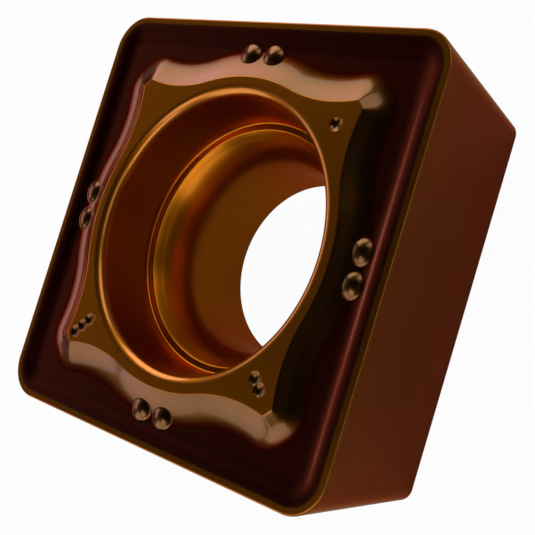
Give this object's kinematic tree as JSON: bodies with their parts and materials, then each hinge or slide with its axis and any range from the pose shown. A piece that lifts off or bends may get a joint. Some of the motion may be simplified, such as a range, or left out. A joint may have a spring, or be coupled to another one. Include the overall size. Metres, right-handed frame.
{
  "type": "carbide insert",
  "caption": "Square positive indexable cutting insert with a moulded chip breaker, rounded corners and a recessed central screw hole with a bell-shaped seat.",
  "frame": {"origin": "centre of the flat seating face, on the axis of the screw hole", "axes": "+Z along the screw hole, from the seating face up to the cutting edges; +X and +Y each point square to one side of the insert"},
  "size_m": [0.0096, 0.0096, 0.0041],
  "materials": {
    "coated_carbide": "gloss"
  },
  "bodies": {
    "root": {"insert": "coated_carbide"}
  },
  "joints": []
}
